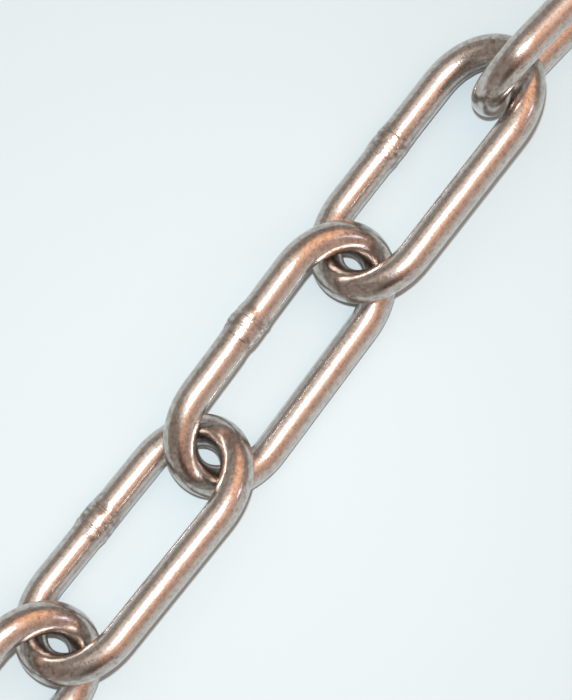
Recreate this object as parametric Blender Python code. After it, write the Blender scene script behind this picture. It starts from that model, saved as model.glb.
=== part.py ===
"""A one metre length of long-link steel chain, laid out on a level floor.

Every link is a closed ring of round wire with a butt weld in the middle of one leg. Laid down, each link
leans on its neighbours: one leg touches the floor and the other stands high, left and right by turns.
Units are metres. The chain runs along +X, the floor is z = 0 and +Y is the left side.
"""

import math

import bmesh
import bpy
import numpy as np
from mathutils import Euler, Vector

# The wire and the ring that it is bent into.
WIRE_D = 0.0057
INNER_LENGTH = 0.0427
INNER_WIDTH = 0.0121
LINK_COUNT = 24

# Each end is half an ellipse, longer than round.
BEND_ACROSS = (INNER_WIDTH + WIRE_D) / 2
BEND_ALONG = 0.0112
LEG_LENGTH = INNER_LENGTH + WIRE_D - 2 * BEND_ALONG

# The weld bead in the middle of the left leg.
BEAD_LENGTH = 0.0070
BEAD_RISE = 0.00012

# How the chain lies. Links lean left side up and right side up by turns.
LEAN_DEG = 30.0
SWAY_DEG = 0.8
SWAY_STEP_DEG = 51.0
WIRE_CLEARANCE = 0.00060

# Link 14 stands nearly on edge and hangs to the right in link 13. Its neighbours ride up on it at that end.
OWN_HEADING_DEG = {10: -1.1, 11: -0.3, 12: 1.9, 13: 0.6, 14: -5.0, 15: -2.5, 16: 0.8, 17: 2.0}
OWN_LEAN_DEG = {13: 32.0, 14: 84.0}
OWN_RISE_DEG = {13: 3.0, 15: -4.5}
OWN_ASIDE = {14: -0.0015}

# The middle link holds still, and the others swing from it towards both ends.
MIDDLE_LINK = 12

# Facets of the round wire. The ring has a facet square to each end and each side.
WIRE_SIDES = 12
BEND_STEPS = 9

STEEL_COLOUR = (0.52, 0.44, 0.38, 1.0)
STEEL_ROUGHNESS = 0.22


def clear_scene():
    for old in list(bpy.data.objects):
        bpy.data.objects.remove(old, do_unlink=True)


def lean_of(number):
    """Lean of a link about its own length in radians, positive with the left leg up."""
    side = 1 if number % 2 == 0 else -1
    return math.radians(side * OWN_LEAN_DEG.get(number, LEAN_DEG))


def heading_of(number):
    """Direction of a link on the floor in radians, turned left from +X."""
    sway = SWAY_DEG * math.sin(math.radians(SWAY_STEP_DEG * number))
    return math.radians(OWN_HEADING_DEG.get(number, sway))


def rise_of(number):
    """Upward tilt of a link towards +X in radians."""
    return math.radians(OWN_RISE_DEG.get(number, 0.0))


def attitude(number):
    """How a link is turned as it lies, as Euler angles."""
    return Euler((lean_of(number), -rise_of(number), heading_of(number)), "XYZ")


def wire_radius():
    """Corner radius of the faceted wire, whose flats touch the round one from outside."""
    return WIRE_D / 2 / math.cos(math.pi / WIRE_SIDES)


def bend_point(turn):
    """Point of the centre line on the +X end, from the right leg at -90 degrees to the left at 90."""
    return LEG_LENGTH / 2 + BEND_ALONG * math.cos(turn), BEND_ACROSS * math.sin(turn)


def ring_stations():
    """Points along the wire's centre line as (x, y, tangent angle, radius), once round the link."""
    radius = wire_radius()
    stations = []
    for end in (0.0, math.pi):
        for step in range(BEND_STEPS + 1):
            turn = -math.pi / 2 + math.pi * step / BEND_STEPS
            x, y = bend_point(turn)
            tangent = math.atan2(BEND_ACROSS * math.cos(turn), -BEND_ALONG * math.sin(turn))
            stations.append((math.cos(end) * x, math.cos(end) * y, end + tangent, radius))
        if end == 0.0:
            stations += bead_stations(radius)
    return stations


def bead_stations(radius):
    """The weld bead's rings on the left leg, whose wire runs towards -X."""
    rings = []
    for share, rise in ((0.5, 0.0), (0.2, 1.0), (-0.2, 1.0), (-0.5, 0.0)):
        rings.append((share * BEAD_LENGTH, BEND_ACROSS, math.pi, radius + rise * BEAD_RISE))
    return rings


def link_mesh(name, centre):
    """One closed ring of wire, flat in the XY plane around its centre."""
    shape = bmesh.new()
    rings = []
    for x, y, tangent, radius in ring_stations():
        outward = Vector((math.sin(tangent), -math.cos(tangent), 0.0))
        ring = []
        for side in range(WIRE_SIDES):
            angle = 2 * math.pi * (side + 0.5) / WIRE_SIDES
            offset = outward * math.cos(angle) + Vector((0, 0, 1)) * math.sin(angle)
            ring.append(shape.verts.new(centre + Vector((x, y, 0.0)) + offset * radius))
        rings.append(ring)
    for first, second in zip(rings, rings[1:] + rings[:1]):
        for side in range(WIRE_SIDES):
            after = (side + 1) % WIRE_SIDES
            shape.faces.new((first[side], second[side], second[after], first[after]))
    bmesh.ops.recalc_face_normals(shape, faces=shape.faces)
    mesh = bpy.data.meshes.new(name)
    shape.to_mesh(mesh)
    shape.free()
    mesh.shade_smooth()
    return mesh


def centre_line(number):
    """The wire's centre line of a leaning link with its heading, as an array, centred on the origin."""
    points = []
    for end in (1, -1):
        for turn in np.linspace(-math.pi / 2, math.pi / 2, 91):
            x, y = bend_point(turn)
            points.append((end * x, end * y, 0.0))
    return np.array(points) @ np.array(attitude(number).to_matrix()).T


def way(number):
    """Unit vector along a link on the floor."""
    return np.array((math.cos(heading_of(number)), math.sin(heading_of(number)), 0.0))


def aside(number):
    """How far a link lies to the left of the pivot behind it, as a vector."""
    left = np.array((-math.sin(heading_of(number)), math.cos(heading_of(number)), 0.0))
    return left * OWN_ASIDE.get(number, 0.0)


def rest_height(number):
    """Height of a link's centre above the floor when the wire of its low leg touches it."""
    return WIRE_D / 2 - centre_line(number)[:, 2].min()


def wire_gap(number, reach):
    """Space between the wires of a link and the next one, each with its centre at reach from their pivot."""
    first = centre_line(number) - way(number) * reach
    second = centre_line(number + 1) + aside(number + 1) + way(number + 1) * reach
    first[:, 2] += rest_height(number)
    second[:, 2] += rest_height(number + 1)
    apart = np.linalg.norm(first[:, None, :] - second[None, :, :], axis=2)
    return apart.min() - WIRE_D


def reach_to_next(number):
    """Distance from a link's centre to its pivot with the next, when the two wires clear each other."""
    low = LEG_LENGTH / 2
    high = LEG_LENGTH / 2 + BEND_ALONG
    for _ in range(24):
        middle = (low + high) / 2
        if wire_gap(number, middle) > WIRE_CLEARANCE:
            low = middle
        else:
            high = middle
    return low


def lay_out():
    """Centre of every link and the pivot after it, with the middle link over x = y = 0."""
    reaches = {number: reach_to_next(number) for number in range(1, LINK_COUNT)}
    centres = {MIDDLE_LINK: np.zeros(3)}
    pivots = {}
    for number in range(MIDDLE_LINK, LINK_COUNT):
        pivots[number] = centres[number] + way(number) * reaches[number]
        centres[number + 1] = pivots[number] + way(number + 1) * reaches[number] + aside(number + 1)
    for number in range(MIDDLE_LINK - 1, 0, -1):
        pivots[number] = centres[number + 1] - way(number + 1) * reaches[number]
        centres[number] = pivots[number] - way(number) * reaches[number]
    for number, centre in centres.items():
        centre[2] = rest_height(number)
    for number, pivot in pivots.items():
        pivot[2] = (centres[number][2] + centres[number + 1][2]) / 2
    return centres, pivots


def steel(name):
    material = bpy.data.materials.new(name)
    material.use_nodes = True
    surface = material.node_tree.nodes["Principled BSDF"]
    surface.inputs["Base Color"].default_value = STEEL_COLOUR
    surface.inputs["Metallic"].default_value = 1.0
    surface.inputs["Roughness"].default_value = STEEL_ROUGHNESS
    material.diffuse_color = STEEL_COLOUR
    return material


def joint_point(number, centres, pivots):
    """Where a link swings on the link nearer the middle. The middle link turns on its own centre."""
    if number > MIDDLE_LINK:
        return pivots[number - 1]
    if number < MIDDLE_LINK:
        return pivots[number]
    return centres[number]


def add_link(number, centres, pivots):
    name = f"link_{number:02d}"
    point = joint_point(number, centres, pivots)
    centre = attitude(number).to_matrix().inverted() @ Vector(centres[number] - point)
    link = bpy.data.objects.new(name, link_mesh(name, centre))
    link.data.materials.append(steel(name + "_steel"))
    link.location = point
    link.rotation_euler = attitude(number)
    bpy.context.scene.collection.objects.link(link)
    return link


def set_down(links):
    """Moves all the links alike: the lowest weld bead touches z = 0, the chain's middle is over the origin."""
    corners = np.array([link.matrix_world @ vertex.co for link in links for vertex in link.data.vertices])
    low = corners.min(axis=0)
    middle = (low + corners.max(axis=0)) / 2
    for link in links:
        link.location -= Vector((middle[0], middle[1], low[2]))


def hang_on(link, holder):
    """Parents a link to the one that holds it, without moving it."""
    link.parent = holder
    link.matrix_parent_inverse = holder.matrix_world.inverted()


def main():
    clear_scene()
    centres, pivots = lay_out()
    links = {number: add_link(number, centres, pivots) for number in range(1, LINK_COUNT + 1)}
    bpy.context.view_layer.update()
    set_down(links.values())
    bpy.context.view_layer.update()
    for number, link in links.items():
        if number > MIDDLE_LINK:
            hang_on(link, links[number - 1])
        if number < MIDDLE_LINK:
            hang_on(link, links[number + 1])


main()
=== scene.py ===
"""A length of polished long-link steel chain, lying on a pale table under studio light.

Sizes are in metres. The chain runs along +X, the table's top is z = 0 and +Y is the chain's left side.
"""

import math

import bmesh
import bpy
import numpy as np
from bpy.props import FloatProperty, FloatVectorProperty, PointerProperty
from mathutils import Matrix, Vector


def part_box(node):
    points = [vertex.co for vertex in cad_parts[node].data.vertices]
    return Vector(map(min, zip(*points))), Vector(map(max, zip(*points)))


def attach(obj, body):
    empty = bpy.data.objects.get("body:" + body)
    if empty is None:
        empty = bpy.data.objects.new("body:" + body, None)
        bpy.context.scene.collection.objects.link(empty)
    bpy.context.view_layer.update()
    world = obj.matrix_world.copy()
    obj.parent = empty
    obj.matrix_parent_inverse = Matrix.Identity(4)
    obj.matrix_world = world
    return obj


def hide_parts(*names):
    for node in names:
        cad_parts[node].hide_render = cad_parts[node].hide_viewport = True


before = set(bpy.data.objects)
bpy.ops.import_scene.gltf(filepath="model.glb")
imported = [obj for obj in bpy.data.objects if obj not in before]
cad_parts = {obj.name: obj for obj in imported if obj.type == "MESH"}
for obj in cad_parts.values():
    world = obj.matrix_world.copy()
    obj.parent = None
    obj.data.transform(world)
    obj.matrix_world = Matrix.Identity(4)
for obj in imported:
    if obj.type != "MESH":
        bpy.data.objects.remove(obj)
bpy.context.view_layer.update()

bl_info = {
    "name": "Polished Long-Link Chain",
    "version": (1, 0, 0),
    "blender": (4, 5, 0),
    "location": "View3D > Sidebar > Chain",
    "description": "Lays polished, welded wire links over the chain's frame and sets up its stage",
    "category": "Object",
}

LINK_NAMES = sorted(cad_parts)
MIDDLE_LINK = LINK_NAMES[len(LINK_NAMES) // 2 - 1]

MILLIMETRE = 0.001

# Distances within which two points are taken as one, and within which the bent wire's ends are joined.
SAME_PLACE = 0.00001
JOINT_REACH = 0.00005

# Mesh density: sides of the round wire, rounds of cuts along it, parts that a round makes of each stretch,
# and the further cuts in each part where a weld can be.
WIRE_SIDES = 32
CUT_ROUNDS = 2
PARTS_PER_ROUND = 12
WELD_CUTS = 3

# Steps of the guide from one of its stations to the next, and the handle length that makes a Bezier quarter
# as round as a quarter of an ellipse.
GUIDE_STEPS = 64
ELLIPSE_PULL = 0.5523

# Creases of a weld: where they are along it, as shares of its length, and how much thinner than the rest of
# the weld they are at most.
CREASES = (-0.27, 0.0, 0.24)
CREASE_DEPTHS = (0.00024, 0.00014, 0.00026)

# The sharper lip at one end of a weld: where it is and how far it reaches, as shares of the weld's length.
WELD_LIP = -0.30
WELD_LIP_REACH = 0.16

# How many lumps and hollows a weld has, the share of its length to each side of its middle that is pitted,
# and where the mark that its finish reads has faded out, in half lengths from its middle.
WELD_LUMPS = 9
WELD_PITTED = 0.3
WELD_MARK_END = 1.4

# Traits in which the welds differ: where the chance numbers of a trait start, its least and its most. A
# lump's reach is a length, its turn a share of the way to the next lump, and its place a share of the
# bead's length. All others are shares of the size that is set for them.
TRAITS = {
    "place": (1, -1.0, 1.0),
    "rise": (2, 0.8, 1.1),
    "kink": (3, 0.0, 1.0),
    "crease place": (0, 0.8, 1.2),
    "crease depth": (5, 0.4, 1.0),
    "lump place": (10, -0.4, 0.4),
    "lump turn": (20, 0.0, 0.6),
    "lump height": (30, -1.1, 0.9),
    "lump reach": (40, 0.00098, 0.00182),
}

# Factors that scatter a sine, so that chance numbers next to each other are unlike.
SCATTER_LINK = 12.9898
SCATTER_COLUMN = 78.233
SCATTER_SINE = 43758.5453

# Patterns of the finish: waves for each unit round the wire and along it, octaves, and the values of the
# noise between which a pattern goes from none to full. Round the wire a unit is a millimetre.
PATTERNS = {
    "lines": (3.0, 0.10, 3.0, 0.30, 0.70),
    "grain": (2.6, 1.6, 4.0, 0.25, 0.75),
    "patches": (0.35, 0.12, 4.0, 0.35, 0.70),
    "mottle": (0.9, 0.6, 6.0, 0.38, 0.64),
    "specks": (2.0, 1.0, 5.0, 0.48, 0.68),
    "scale": (0.7, 0.6, 4.0, 0.46, 0.62),
}

# Units along the whole wire of a link, strength of an octave beside the one before, and how far apart links
# are in the noise's fourth direction, so that no two look alike.
PATTERN_LENGTH = 200.0
PATTERN_ROUGHNESS = 0.6
PATTERN_STRIDE = 3.7

# Shares of the films where their patterns are full, and how much more of them the bends and welds have:
# bends and welds for the brown film, and bends for the specks. This makes the bends darker than the legs.
BLUSH_SHARE = 0.8
LINES_SHARE = 0.15
SCALE_SHARE = 0.62
FILM_SHARE = 0.30
FILM_AT_BENDS_AND_WELD = 0.30
SPECKS_SHARE = 0.43
SPECKS_AT_BENDS = 0.15

# How much a bend counts towards the extra film, where a weld counts as 1.
BEND_WEIGHT = 1.3

# What the patterns add to the roughness, and the height of the drawing lines where the grain's is 1.
ROUGHER = {"lines": 0.08, "mottle": 0.05, "scale": 0.14}
LINES_HEIGHT = 0.15

# The table's side and roughness, and the distances from its middle between which it gets paler: painted
# light that makes up for the lamp's light getting weaker.
TABLE_SIZE = 40
TABLE_ROUGHNESS = 0.5
TABLE_NEAR = 0.12
TABLE_FAR = 0.75

# Height of the picture in pixels.
PICTURE_HEIGHT = 700

# Distance of the lamp, and the angle that its radius covers from the chain.
FLASH_DISTANCE = 0.60
FLASH_RADIUS = math.radians(0.8)

# Soft glows and shades of the studio: azimuth, angle from straight up, radius of the even core and of the
# outer edge, all in degrees, and the light's colour.
GLOWS = (
    (200, 88, 0, 50, (0.41, 0.38, 0.35)),
    (240, 75, 0, 26, (0.58, 0.53, 0.49)),
    (90, 88, 0, 45, (0.36, 0.32, 0.28)),
    (228, 51, 4, 33, (0.11, 0.085, 0.075)),
    (245, 38, 0, 22, (0.36, 0.19, 0.14)),
    (285, 55, 6, 43, (0.63, 0.43, 0.345)),
    (272, 92, 0, 24, (0.78, 0.64, 0.55)),
    (238, 85, 0, 18, (0.84, 0.80, 0.75)),
    (302, 85, 0, 16, (0.80, 0.73, 0.69)),
    (2, 33, 5, 36, (1.42, 0.80, 0.51)),
    (311, 52, 2, 6, (4.00, 4.00, 4.80)),
    (289, 76, 1, 6, (0.90, 0.95, 1.00)),
    (95, 34, 2, 23, (0.90, 0.77, 0.67)),
    (270, 16, 6, 30, (1.15, 0.68, 0.46)),
    (103, 12, 2, 25, (1.20, 1.07, 1.00)),
)


class ChainLinkSettings(bpy.types.PropertyGroup):
    """Sizes of one link."""

    wire: FloatProperty(
        name="Wire", description="Diameter of the wire",
        default=0.0057, min=0.001, unit="LENGTH", subtype="DISTANCE",
    )
    leg: FloatProperty(
        name="Leg", description="Length of the straight leg between the two bends",
        default=0.0260, min=0.001, unit="LENGTH", subtype="DISTANCE",
    )
    bend_across: FloatProperty(
        name="Bend Across", description="Half the distance between the middles of the two legs",
        default=0.0089, min=0.001, unit="LENGTH", subtype="DISTANCE",
    )
    bend_along: FloatProperty(
        name="Bend Along", description="How far the middle of the wire reaches past the end of the legs",
        default=0.0112, min=0.001, unit="LENGTH", subtype="DISTANCE",
    )
    weld: FloatProperty(
        name="Weld", description="Length of the bead that the butt weld leaves on the left leg",
        default=0.0080, min=0.001, unit="LENGTH", subtype="DISTANCE",
    )
    weld_rise: FloatProperty(
        name="Weld Rise", description="How far the bead stands out to the link's inside and outside",
        default=0.00024, min=0.0, unit="LENGTH", subtype="DISTANCE",
    )
    weld_face_rise: FloatProperty(
        name="Weld Face Rise", description="How far the bead stands out on the link's two faces",
        default=0.00010, min=0.0, unit="LENGTH", subtype="DISTANCE",
    )
    weld_lip: FloatProperty(
        name="Weld Lip", description="How far the lip at one end of the bead stands out",
        default=0.00016, min=0.0, unit="LENGTH", subtype="DISTANCE",
    )
    weld_lump: FloatProperty(
        name="Weld Lump", description="About how high and how deep the weld's lumps and hollows get",
        default=0.00024, min=0.0, unit="LENGTH", subtype="DISTANCE",
    )
    weld_kink: FloatProperty(
        name="Weld Kink", description="How far the weld may sit to the outside of the leg's line",
        default=0.00012, min=0.0, unit="LENGTH", subtype="DISTANCE",
    )
    weld_stray: FloatProperty(
        name="Weld Stray", description="How far along the leg a weld may be from its middle",
        default=0.0015, min=0.0, unit="LENGTH", subtype="DISTANCE",
    )
    weld_pits: FloatProperty(
        name="Weld Pits", description="Unevenness of the weld's skin",
        default=0.000028, min=0.0, unit="LENGTH", subtype="DISTANCE",
    )


class ChainSteelSettings(bpy.types.PropertyGroup):
    """Finish of the polished wire."""

    colour: FloatVectorProperty(
        name="Steel", description="Colour of the polished steel",
        default=(0.70, 0.685, 0.67), min=0.0, max=1.0, subtype="COLOR",
    )
    blush: FloatVectorProperty(
        name="Blush", description="Colour of the pink film that heat left in patches",
        default=(0.69, 0.62, 0.58), min=0.0, max=1.0, subtype="COLOR",
    )
    film: FloatVectorProperty(
        name="Film", description="Colour of the brown film that mottles the wire, most at bends and welds",
        default=(0.38, 0.31, 0.26), min=0.0, max=1.0, subtype="COLOR",
    )
    tarnish: FloatVectorProperty(
        name="Tarnish", description="Colour of the fine dark specks and of the scale at the welds",
        default=(0.20, 0.165, 0.135), min=0.0, max=1.0, subtype="COLOR",
    )
    roughness: FloatProperty(
        name="Roughness", description="Roughness of the smoothest wire",
        default=0.12, min=0.0, max=1.0, subtype="FACTOR",
    )
    drawing: FloatProperty(
        name="Drawing Lines", description="How much the lengthwise lines of drawing widen a reflection",
        default=0.30, min=0.0, max=1.0, subtype="FACTOR",
    )
    grain: FloatProperty(
        name="Grain", description="Depth of the fine unevenness of the skin",
        default=0.000010, min=0.0, unit="LENGTH", subtype="DISTANCE",
    )


class ChainStageSettings(bpy.types.PropertyGroup):
    """Table, light and camera."""

    table: FloatVectorProperty(
        name="Table", description="Colour of the table top",
        default=(0.45, 0.56, 0.61), min=0.0, max=1.0, subtype="COLOR",
    )
    # Painted light: the top far from the chain is painted paler where the lamp's light gets weaker.
    table_edge: FloatVectorProperty(
        name="Table Edge", description="Colour of the table top far from the chain",
        default=(0.62, 0.84, 0.98), min=0.0, max=1.0, subtype="COLOR",
    )
    room: FloatVectorProperty(
        name="Room", description="Light of the room where it has no glow",
        default=(0.33, 0.27, 0.235), min=0.0, subtype="COLOR",
    )
    flash: FloatProperty(
        name="Flash", description="Power of the small lamp beside the camera",
        default=3.33, min=0.0, unit="POWER",
    )
    flash_azimuth: FloatProperty(
        name="Flash Azimuth", description="Direction of the lamp, turned left from +X",
        default=math.radians(153), subtype="ANGLE", unit="ROTATION",
    )
    flash_zenith: FloatProperty(
        name="Flash Zenith", description="Angle of the lamp from straight up",
        default=math.radians(1.55), subtype="ANGLE", unit="ROTATION",
    )
    distance: FloatProperty(
        name="Camera Distance", description="Distance from the camera to the middle link",
        default=0.56, min=0.01, unit="LENGTH", subtype="DISTANCE",
    )
    scale: FloatProperty(
        name="Scale", description="Pixels of the picture for each millimetre at the middle link",
        default=5.94, min=0.1,
    )
    aim: FloatVectorProperty(
        name="Aim", description="Middle of the picture, to the right of the middle link and above it",
        default=(0.0009, 0.0016), size=2, unit="LENGTH",
    )
    tilt_along: FloatProperty(
        name="Tilt Along", description="How far the camera leans back along the chain",
        default=math.radians(4.1), subtype="ANGLE", unit="ROTATION",
    )
    tilt_across: FloatProperty(
        name="Tilt Across", description="How far the camera leans to the chain's right side",
        default=math.radians(2.4), subtype="ANGLE", unit="ROTATION",
    )
    turn: FloatProperty(
        name="Turn", description="Angle of the chain above the picture's horizontal",
        default=math.radians(51.36), subtype="ANGLE", unit="ROTATION",
    )


def deselect_all():
    if bpy.context.object and bpy.context.object.mode != "OBJECT":
        bpy.ops.object.mode_set(mode="OBJECT")
    bpy.ops.object.select_all(action="DESELECT")


def make_active(piece):
    deselect_all()
    piece.select_set(True)
    bpy.context.view_layer.objects.active = piece


def pick_vertices(piece, wanted):
    """Goes into edit mode on the piece, with only the wanted vertices selected."""
    make_active(piece)
    bpy.ops.object.mode_set(mode="EDIT")
    bpy.ops.mesh.select_mode(type="VERT")
    shape = bmesh.from_edit_mesh(piece.data)
    for vertex in shape.verts:
        vertex.select = wanted(vertex.co)
    shape.select_flush_mode()
    bmesh.update_edit_mesh(piece.data)


def pick_edges(piece, wanted):
    """Goes into edit mode on the piece, with only the wanted edges selected."""
    make_active(piece)
    bpy.ops.object.mode_set(mode="EDIT")
    bpy.ops.mesh.select_all(action="DESELECT")
    bpy.ops.mesh.select_mode(type="EDGE")
    shape = bmesh.from_edit_mesh(piece.data)
    for edge in shape.edges:
        edge.select = wanted(edge.verts[0].co, edge.verts[1].co)
    bmesh.update_edit_mesh(piece.data)


def pick_ring(piece, place, across):
    """Goes into edit mode with the left leg's ring nearest to that place selected, and gives its place."""
    places = [vertex.co.x for vertex in piece.data.vertices if vertex.co.y > across / 2]
    nearest = min(places, key=lambda x: abs(x - place))
    pick_vertices(piece, lambda co: co.y > 0 and abs(co.x - nearest) < SAME_PLACE)
    return nearest


def runs_along(first, second):
    """Whether an edge from one point to the other runs along a straight wire and not round it."""
    return abs(first.x - second.x) > SAME_PLACE


def guide_curve(sizes):
    """The middle of the wire: from the weld on the left leg towards -X, once round the link."""
    half = sizes.leg / 2
    across = sizes.bend_across
    end = half + sizes.bend_along
    pull_leg = half / 3
    pull_along = ELLIPSE_PULL * sizes.bend_along
    pull_across = ELLIPSE_PULL * across
    # Place, heading, and the length of the handle before and after.
    stations = (
        ((0, across), (-1, 0), pull_leg, pull_leg),
        ((-half, across), (-1, 0), pull_leg, pull_along),
        ((-end, 0), (0, -1), pull_across, pull_across),
        ((-half, -across), (1, 0), pull_along, pull_leg),
        ((half, -across), (1, 0), pull_leg, pull_along),
        ((end, 0), (0, 1), pull_across, pull_across),
        ((half, across), (-1, 0), pull_along, pull_leg),
    )
    curve = bpy.data.curves.new("guide", "CURVE")
    curve.dimensions = "3D"
    curve.twist_mode = "Z_UP"
    curve.resolution_u = GUIDE_STEPS
    curve.use_stretch = True
    curve.use_deform_bounds = True
    spline = curve.splines.new("BEZIER")
    spline.bezier_points.add(len(stations) - 1)
    spline.use_cyclic_u = True
    for point, (place, heading, before, after) in zip(spline.bezier_points, stations):
        middle = Vector((*place, 0))
        way = Vector((*heading, 0))
        point.co = middle
        point.handle_left_type = point.handle_right_type = "FREE"
        point.handle_left = middle - way * before
        point.handle_right = middle + way * after
    guide = bpy.data.objects.new("guide", curve)
    bpy.context.scene.collection.objects.link(guide)
    return guide, spline.calc_length()


def cut_wire(sizes, length):
    """A straight tube as long as the guide, with even steps along it."""
    deselect_all()
    bpy.ops.mesh.primitive_cylinder_add(
        vertices=WIRE_SIDES, radius=sizes.wire / 2, depth=length, end_fill_type="NOTHING",
        location=(length / 2, 0, 0), rotation=(0, math.pi / 2, 0),
    )
    wire = bpy.context.object
    bpy.ops.object.transform_apply(location=True, rotation=True, scale=True)
    for _ in range(CUT_ROUNDS):
        pick_edges(wire, runs_along)
        bpy.ops.mesh.subdivide(number_cuts=PARTS_PER_ROUND - 1)
        bpy.ops.object.mode_set(mode="OBJECT")
    return wire


def bend_wire(wire, guide):
    """Bends the tube round the guide and joins its two ends at the weld."""
    make_active(wire)
    bend = wire.modifiers.new("bend", "CURVE")
    bend.object = guide
    bend.deform_axis = "POS_X"
    bpy.ops.object.modifier_apply(modifier=bend.name)
    bpy.data.objects.remove(guide)
    pick_vertices(wire, lambda place: True)
    bpy.ops.mesh.remove_doubles(threshold=JOINT_REACH)
    bpy.ops.mesh.normals_make_consistent(inside=False)
    bpy.ops.object.mode_set(mode="OBJECT")


def refine_weld(wire, sizes):
    """Puts finer rings round the wire where a weld can be."""
    near = sizes.weld / 2 + sizes.weld_stray

    def at_weld(first, second):
        on_left = first.y > 0 and second.y > 0
        return on_left and runs_along(first, second) and max(abs(first.x), abs(second.x)) < near

    pick_edges(wire, at_weld)
    bpy.ops.mesh.subdivide(number_cuts=WELD_CUTS)
    bpy.ops.object.mode_set(mode="OBJECT")


def bend_one_link(sizes):
    """One smooth link in the XY plane, its long side along X, with the joint of its wire on the left."""
    guide, length = guide_curve(sizes)
    wire = cut_wire(sizes, length)
    bend_wire(wire, guide)
    refine_weld(wire, sizes)
    make_active(wire)
    bpy.ops.object.shade_smooth()
    return wire


def trait(number, name, item=0):
    """A trait of a link's weld, or of one of its creases or lumps: it looks random and never changes."""
    column, least, most = TRAITS[name]
    scattered = math.sin(number * SCATTER_LINK + (column + item) * SCATTER_COLUMN) * SCATTER_SINE
    return least + (most - least) * (scattered % 1.0)


def weld_place(number, sizes):
    """Where a link's weld is along its left leg, from the leg's middle."""
    return sizes.weld_stray * trait(number, "place")


def fading(reach):
    """Settings of a transform that fades out over that distance along the surface."""
    return {
        "use_proportional_edit": True, "use_proportional_connected": True,
        "proportional_edit_falloff": "SMOOTH", "proportional_size": reach,
    }


def swell_weld(piece, sizes, number):
    """Swells the leg into a bead, moves it a little outward and raises the lip at one of its ends."""
    middle = weld_place(number, sizes)
    across = sizes.bend_across
    soft = fading(sizes.weld / 2)
    wider = 1 + 2 * sizes.weld_rise * trait(number, "rise") / sizes.wire
    higher = 1 + 2 * sizes.weld_face_rise / sizes.wire
    pick_ring(piece, middle, across)
    bpy.ops.transform.resize(value=(1, wider, higher), center_override=(middle, across, 0), **soft)
    bpy.ops.transform.translate(value=(0, sizes.weld_kink * trait(number, "kink"), 0), **soft)
    end = 1 if number % 2 else -1
    soft = fading(WELD_LIP_REACH * sizes.weld)
    wider = 1 + 2 * sizes.weld_lip / sizes.wire
    lip = pick_ring(piece, middle + end * WELD_LIP * sizes.weld, across)
    bpy.ops.transform.resize(value=(1, wider, 1), center_override=(lip, across, 0), **soft)
    bpy.ops.object.mode_set(mode="OBJECT")


def crease_weld(piece, sizes, number):
    """Tightens single rings of the weld into creases."""
    across = sizes.bend_across
    for crease, depth in zip(CREASES, CREASE_DEPTHS):
        from_middle = crease * sizes.weld * trait(number, "crease place", crease)
        place = pick_ring(piece, weld_place(number, sizes) + from_middle, across)
        tight = 1 - depth * trait(number, "crease depth", crease) / sizes.wire
        bpy.ops.transform.resize(value=(1, tight, tight), center_override=(place, across, 0))
    bpy.ops.object.mode_set(mode="OBJECT")


def pit_weld(piece, sizes, number):
    """Roughens the skin of the weld."""
    middle = weld_place(number, sizes)
    near = WELD_PITTED * sizes.weld
    pick_vertices(piece, lambda co: co.y > 0 and abs(co.x - middle) < near)
    bpy.ops.transform.vertex_random(offset=sizes.weld_pits, seed=number)
    bpy.ops.object.mode_set(mode="OBJECT")


def dent_weld(piece, sizes, number):
    """Lumps and hollows of a weld, each with its own place, side, height and reach."""
    middle = weld_place(number, sizes)
    for lump in range(WELD_LUMPS):
        along = middle + sizes.weld * trait(number, "lump place", lump)
        angle = 2 * math.pi * (lump + trait(number, "lump turn", lump)) / WELD_LUMPS
        side = Vector((0, math.cos(angle), math.sin(angle)))
        wanted = Vector((along, sizes.bend_across, 0)) + side * (sizes.wire / 2)
        points = [vertex.co.copy() for vertex in piece.data.vertices]
        spot = min(points, key=lambda co: (co - wanted).length)
        pick_vertices(piece, lambda co: (co - spot).length < SAME_PLACE)
        height = sizes.weld_lump * trait(number, "lump height", lump)
        bpy.ops.transform.translate(value=side * height, **fading(trait(number, "lump reach", lump)))
        bpy.ops.object.mode_set(mode="OBJECT")


def weld_link(piece, sizes, number):
    """Gives a link its weld, which is unlike that of any other link."""
    swell_weld(piece, sizes, number)
    crease_weld(piece, sizes, number)
    pit_weld(piece, sizes, number)
    dent_weld(piece, sizes, number)


def add_marks(mesh, sizes, number):
    """Per-point marks that the steel's finish reads: the link's number, its bends and its weld."""
    places = np.zeros(len(mesh.vertices) * 3, np.float32)
    mesh.vertices.foreach_get("co", places)
    x, y, _ = places.reshape(-1, 3).astype(float).T
    bend = np.clip((abs(x) - sizes.leg / 2) / sizes.bend_along, 0, 1)
    from_weld = abs(x - weld_place(number, sizes)) / (sizes.weld / 2)
    weld = np.where(y > 0, np.clip(WELD_MARK_END - from_weld, 0, 1), 0)
    marks = {"link_number": np.full(len(x), float(number)), "bend": bend, "weld": weld}
    for name, values in marks.items():
        mesh.attributes.new(name, "FLOAT", "POINT").data.foreach_set("value", values.astype(np.float32))


def place_of(node, sizes):
    """Where a link of the frame lies: its X along it, its Y to the weld's side, its Z out of its plane."""
    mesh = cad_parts[node].data
    corners = np.zeros(len(mesh.vertices) * 3, np.float32)
    mesh.vertices.foreach_get("co", corners)
    corners = corners.reshape(-1, 3).astype(float)
    # A link spreads least out of its plane and most along it.
    _, axes = np.linalg.eigh(np.cov(corners.T))
    along = axes[:, 2] * np.sign(axes[0, 2])
    normal = axes[:, 0] * np.sign(axes[2, 0])
    across = np.cross(normal, along)
    turned = corners @ np.column_stack((along, across, normal))
    # The weld bead would shift the middle, so only the corners past it count.
    past_weld = sizes.leg / 4
    ends = turned[abs(turned[:, 0] - turned[:, 0].mean()) > past_weld]
    middle = (ends.min(axis=0) + ends.max(axis=0)) / 2
    matrix = np.eye(4)
    matrix[:3, :3] = np.column_stack((along, across, normal))
    matrix[:3, 3] = matrix[:3, :3] @ middle
    return Matrix(matrix.tolist())


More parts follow.
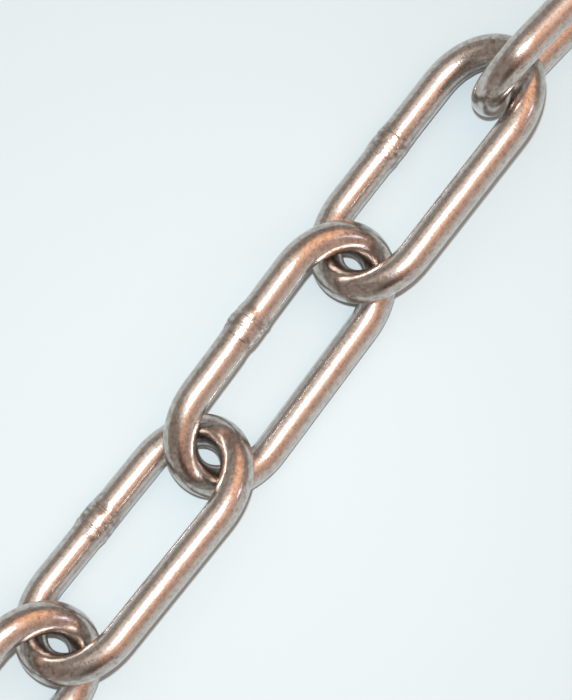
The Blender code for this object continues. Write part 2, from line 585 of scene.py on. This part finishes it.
class CHAIN_OT_steel_links(bpy.types.Operator):
    """Bend, weld and polish one link, and lay a copy of it over every link of the frame"""

    bl_idname = "chain.steel_links"
    bl_label = "Steel Links"

    def execute(self, context):
        sizes = context.scene.chain_link
        first = bend_one_link(sizes)
        first.data.materials.append(polished_steel(context.scene.chain_steel, sizes.wire))
        for number, node in enumerate(LINK_NAMES, 1):
            mesh = first.data.copy()
            mesh.name = "steel_" + node
            piece = bpy.data.objects.new(mesh.name, mesh)
            context.scene.collection.objects.link(piece)
            weld_link(piece, sizes, number)
            add_marks(mesh, sizes, number)
            mesh.transform(place_of(node, sizes))
            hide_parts(node)
            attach(piece, node)
        bpy.data.objects.remove(first)
        return {"FINISHED"}


def add_node(tree, kind, links=None, **settings):
    """A node of that kind with these settings, and its inputs set or linked by name or number."""
    node = tree.nodes.new(kind)
    for name, value in settings.items():
        setattr(node, name, value)
    for name, value in (links or {}).items():
        if isinstance(value, bpy.types.NodeSocket):
            tree.links.new(value, node.inputs[name])
        else:
            node.inputs[name].default_value = value
    return node


def compute(tree, operation, *values):
    """The result of a Math node on sockets and numbers."""
    return add_node(tree, "ShaderNodeMath", dict(enumerate(values)), operation=operation).outputs[0]


def smooth_step(tree, value, low, high):
    """A share that goes smoothly from 0 to 1 while the value goes from low to high."""
    return add_node(
        tree, "ShaderNodeMapRange", {"Value": value, "From Min": low, "From Max": high},
        interpolation_type="SMOOTHSTEP",
    ).outputs["Result"]


def blend_colours(tree, share, first, second):
    """A colour between two, which are sockets or tuples."""
    node = add_node(tree, "ShaderNodeMix", {"Factor": share}, data_type="RGBA")
    for name, value in (("A", first), ("B", second)):
        slot = next(i for i in node.inputs if i.name == name and i.type == "RGBA")
        if isinstance(value, bpy.types.NodeSocket):
            tree.links.new(value, slot)
        else:
            slot.default_value = (*value, 1.0)
    return next(o for o in node.outputs if o.type == "RGBA")


def mark(tree, name):
    """A per-point mark of the link, as a number."""
    return add_node(tree, "ShaderNodeAttribute", attribute_name=name).outputs["Fac"]


def wire_coordinates(tree, wire):
    """A place on the wire in the patterns' units, with no seam but the one where the wire is joined."""
    place = add_node(tree, "ShaderNodeSeparateXYZ", {0: add_node(tree, "ShaderNodeUVMap").outputs[0]})
    angle = compute(tree, "MULTIPLY", place.outputs["X"], 2 * math.pi)
    radius = wire / 2 / MILLIMETRE
    across = compute(tree, "MULTIPLY", compute(tree, "COSINE", angle), radius)
    upward = compute(tree, "MULTIPLY", compute(tree, "SINE", angle), radius)
    along = compute(tree, "MULTIPLY", place.outputs["Y"], PATTERN_LENGTH)
    return add_node(tree, "ShaderNodeCombineXYZ", {0: across, 1: upward, 2: along}).outputs[0]


def pattern(tree, where, around, along, detail, low, high):
    """Noise between 0 and 1, different on each link, with so many waves for each unit round and along."""
    waves = (around, around, along)
    spread = add_node(tree, "ShaderNodeVectorMath", {0: where, 1: waves}, operation="MULTIPLY").outputs[0]
    own = compute(tree, "MULTIPLY", mark(tree, "link_number"), PATTERN_STRIDE)
    noise = add_node(
        tree, "ShaderNodeTexNoise",
        {"Vector": spread, "W": own, "Scale": 1.0, "Detail": detail, "Roughness": PATTERN_ROUGHNESS},
        noise_dimensions="4D",
    )
    return smooth_step(tree, noise.outputs["Fac"], low, high)


def finish_marks(tree, wire):
    """What the finish is made from: its patterns, the bends and the weld, all between 0 and 1."""
    where = wire_coordinates(tree, wire)
    marks = {name: pattern(tree, where, *values) for name, values in PATTERNS.items()}
    marks["bend"] = mark(tree, "bend")
    marks["weld"] = mark(tree, "weld")
    marks["scale"] = compute(tree, "MULTIPLY", marks["weld"], marks["scale"])
    return marks


def steel_colour(tree, marks, finish):
    """Bare steel under its films, from the pink one up to the scale at the weld."""
    # The bends get more brown film and more dark specks than the legs, so they come out darker.
    bends_and_weld = compute(tree, "MAXIMUM", compute(tree, "MULTIPLY", marks["bend"], BEND_WEIGHT), marks["weld"])
    brown = compute(tree, "MULTIPLY_ADD", bends_and_weld, FILM_AT_BENDS_AND_WELD, FILM_SHARE)
    speck_amount = compute(tree, "MULTIPLY_ADD", marks["bend"], SPECKS_AT_BENDS, SPECKS_SHARE)
    coats = (
        ("patches", BLUSH_SHARE, finish.blush),
        ("mottle", brown, finish.film),
        ("lines", LINES_SHARE, finish.film),
        ("specks", speck_amount, finish.tarnish),
        ("scale", SCALE_SHARE, finish.tarnish),
    )
    colour = finish.colour
    for name, share, coat in coats:
        colour = blend_colours(tree, compute(tree, "MULTIPLY", marks[name], share), colour, coat)
    return colour


def steel_roughness(tree, marks, finish):
    """Smooth steel, rougher in its lines and its brown film, and most in the scale at the weld."""
    rough = finish.roughness
    for name, more in ROUGHER.items():
        rough = compute(tree, "MULTIPLY_ADD", marks[name], more, rough)
    return rough


def steel_relief(tree, marks, finish):
    """Fine grain with drawing lines in it, twice as deep at the weld."""
    height = compute(tree, "MULTIPLY_ADD", marks["lines"], LINES_HEIGHT, marks["grain"])
    height = compute(tree, "MULTIPLY", height, compute(tree, "ADD", marks["weld"], 1.0))
    return add_node(tree, "ShaderNodeBump", {"Height": height, "Distance": finish.grain}).outputs[0]


def polished_steel(finish, wire):
    """Drawn and polished wire: lengthwise lines, pink and brown films, dark specks, scale at the weld."""
    material = bpy.data.materials.new("polished_steel")
    material.use_nodes = True
    tree = material.node_tree
    surface = tree.nodes["Principled BSDF"]
    marks = finish_marks(tree, wire)
    tree.links.new(steel_colour(tree, marks, finish), surface.inputs["Base Color"])
    tree.links.new(steel_roughness(tree, marks, finish), surface.inputs["Roughness"])
    tree.links.new(steel_relief(tree, marks, finish), surface.inputs["Normal"])
    tangent = add_node(tree, "ShaderNodeTangent", direction_type="UV_MAP")
    tree.links.new(tangent.outputs[0], surface.inputs["Tangent"])
    surface.inputs["Metallic"].default_value = 1.0
    surface.inputs["Anisotropic"].default_value = finish.drawing
    return material


def pale_table(stage):
    """A plain top, painted paler where the lamp's light gets weaker."""
    material = bpy.data.materials.new("pale_table")
    material.use_nodes = True
    tree = material.node_tree
    surface = tree.nodes["Principled BSDF"]
    place = add_node(tree, "ShaderNodeTexCoord").outputs["Object"]
    away = add_node(tree, "ShaderNodeVectorMath", {0: place}, operation="LENGTH").outputs["Value"]
    share = smooth_step(tree, away, TABLE_NEAR, TABLE_FAR)
    tree.links.new(blend_colours(tree, share, stage.table, stage.table_edge), surface.inputs["Base Color"])
    surface.inputs["Roughness"].default_value = TABLE_ROUGHNESS
    return material


def camera_axes(stage):
    """Right, up and backward of the camera, as unit vectors."""
    back = Vector((-math.tan(stage.tilt_along), -math.tan(stage.tilt_across), 1)).normalized()
    along = Vector((1, 0, 0))
    along = (along - back * along.dot(back)).normalized()
    left = back.cross(along)
    right = along * math.cos(stage.turn) - left * math.sin(stage.turn)
    up = along * math.sin(stage.turn) + left * math.cos(stage.turn)
    return right, up, back


def add_camera(stage, target):
    """A camera whose sensor width covers the picture's height, which is its longer side."""
    right, up, back = camera_axes(stage)
    data = bpy.data.cameras.new("camera")
    field = PICTURE_HEIGHT / stage.scale * MILLIMETRE
    data.lens = data.sensor_width * stage.distance / field
    camera = bpy.data.objects.new("camera", data)
    aim = target + right * stage.aim[0] + up * stage.aim[1]
    turned = Matrix((right, up, back)).transposed().to_4x4()
    camera.matrix_world = Matrix.Translation(aim + back * stage.distance) @ turned
    bpy.context.scene.collection.objects.link(camera)
    bpy.context.scene.camera = camera


def from_above(azimuth, zenith):
    """Unit vector to a place of the studio, by its angle left of +X and its angle from straight up."""
    aside = math.sin(zenith)
    return Vector((math.cos(azimuth) * aside, math.sin(azimuth) * aside, math.cos(zenith)))


def add_flash(stage, target):
    """A small lamp beside the camera, for the wire's white line and its narrow shadows."""
    toward = from_above(stage.flash_azimuth, stage.flash_zenith)
    data = bpy.data.lights.new("flash", "AREA")
    data.shape = "DISK"
    data.size = 2 * FLASH_DISTANCE * math.tan(FLASH_RADIUS)
    data.energy = stage.flash
    light = bpy.data.objects.new("flash", data)
    light.visible_camera = False
    turned = toward.to_track_quat("Z", "Y").to_matrix().to_4x4()
    light.matrix_world = Matrix.Translation(target + toward * FLASH_DISTANCE) @ turned
    bpy.context.scene.collection.objects.link(light)


def add_world(stage):
    """A dim room with soft glows in it, which the camera itself sees as pale."""
    world = bpy.data.worlds.new("studio")
    bpy.context.scene.world = world
    world.use_nodes = True
    tree = world.node_tree
    toward = add_node(tree, "ShaderNodeTexCoord").outputs["Generated"]
    light = tuple(stage.room)
    for azimuth, zenith, core, edge, colour in GLOWS:
        middle = from_above(math.radians(azimuth), math.radians(zenith))
        facing = add_node(tree, "ShaderNodeVectorMath", {0: toward, 1: middle}, operation="DOT_PRODUCT")
        low = math.cos(math.radians(edge))
        high = math.cos(math.radians(core))
        share = smooth_step(tree, facing.outputs["Value"], low, high)
        light = blend_colours(tree, share, light, colour)
    seen = add_node(tree, "ShaderNodeLightPath").outputs["Is Camera Ray"]
    light = blend_colours(tree, seen, light, stage.table)
    tree.links.new(light, tree.nodes["Background"].inputs["Color"])


class CHAIN_OT_stage(bpy.types.Operator):
    """Set the table, the lights and the camera"""

    bl_idname = "chain.stage"
    bl_label = "Stage"

    def execute(self, context):
        stage = context.scene.chain_stage
        deselect_all()
        bpy.ops.mesh.primitive_plane_add(size=TABLE_SIZE)
        table = context.object
        table.name = "table"
        table.data.materials.append(pale_table(stage))
        low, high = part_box(MIDDLE_LINK)
        target = (Vector(low) + Vector(high)) / 2
        add_camera(stage, target)
        add_flash(stage, target)
        add_world(stage)
        context.scene.view_settings.view_transform = "Standard"
        return {"FINISHED"}


class CHAIN_PT_panel(bpy.types.Panel):
    """Chain pieces and their settings"""

    bl_idname = "CHAIN_PT_panel"
    bl_label = "Long-Link Chain"
    bl_space_type = "VIEW_3D"
    bl_region_type = "UI"
    bl_category = "Chain"

    def draw(self, context):
        scene = context.scene
        for kind, groups in (
            (CHAIN_OT_steel_links.bl_idname, (scene.chain_link, scene.chain_steel)),
            (CHAIN_OT_stage.bl_idname, (scene.chain_stage,)),
        ):
            box = self.layout.box()
            for settings in groups:
                for name in settings.bl_rna.properties.keys():
                    if name not in ("name", "rna_type"):
                        box.prop(settings, name)
            box.operator(kind)


CLASSES = (
    ChainLinkSettings,
    ChainSteelSettings,
    ChainStageSettings,
    CHAIN_OT_steel_links,
    CHAIN_OT_stage,
    CHAIN_PT_panel,
)


def register():
    for kind in CLASSES:
        bpy.utils.register_class(kind)
    bpy.types.Scene.chain_link = PointerProperty(type=ChainLinkSettings)
    bpy.types.Scene.chain_steel = PointerProperty(type=ChainSteelSettings)
    bpy.types.Scene.chain_stage = PointerProperty(type=ChainStageSettings)


def unregister():
    del bpy.types.Scene.chain_stage
    del bpy.types.Scene.chain_steel
    del bpy.types.Scene.chain_link
    for kind in reversed(CLASSES):
        bpy.utils.unregister_class(kind)


def main():
    register()
    bpy.ops.chain.steel_links()
    bpy.ops.chain.stage()


if __name__ == "__main__":
    main()
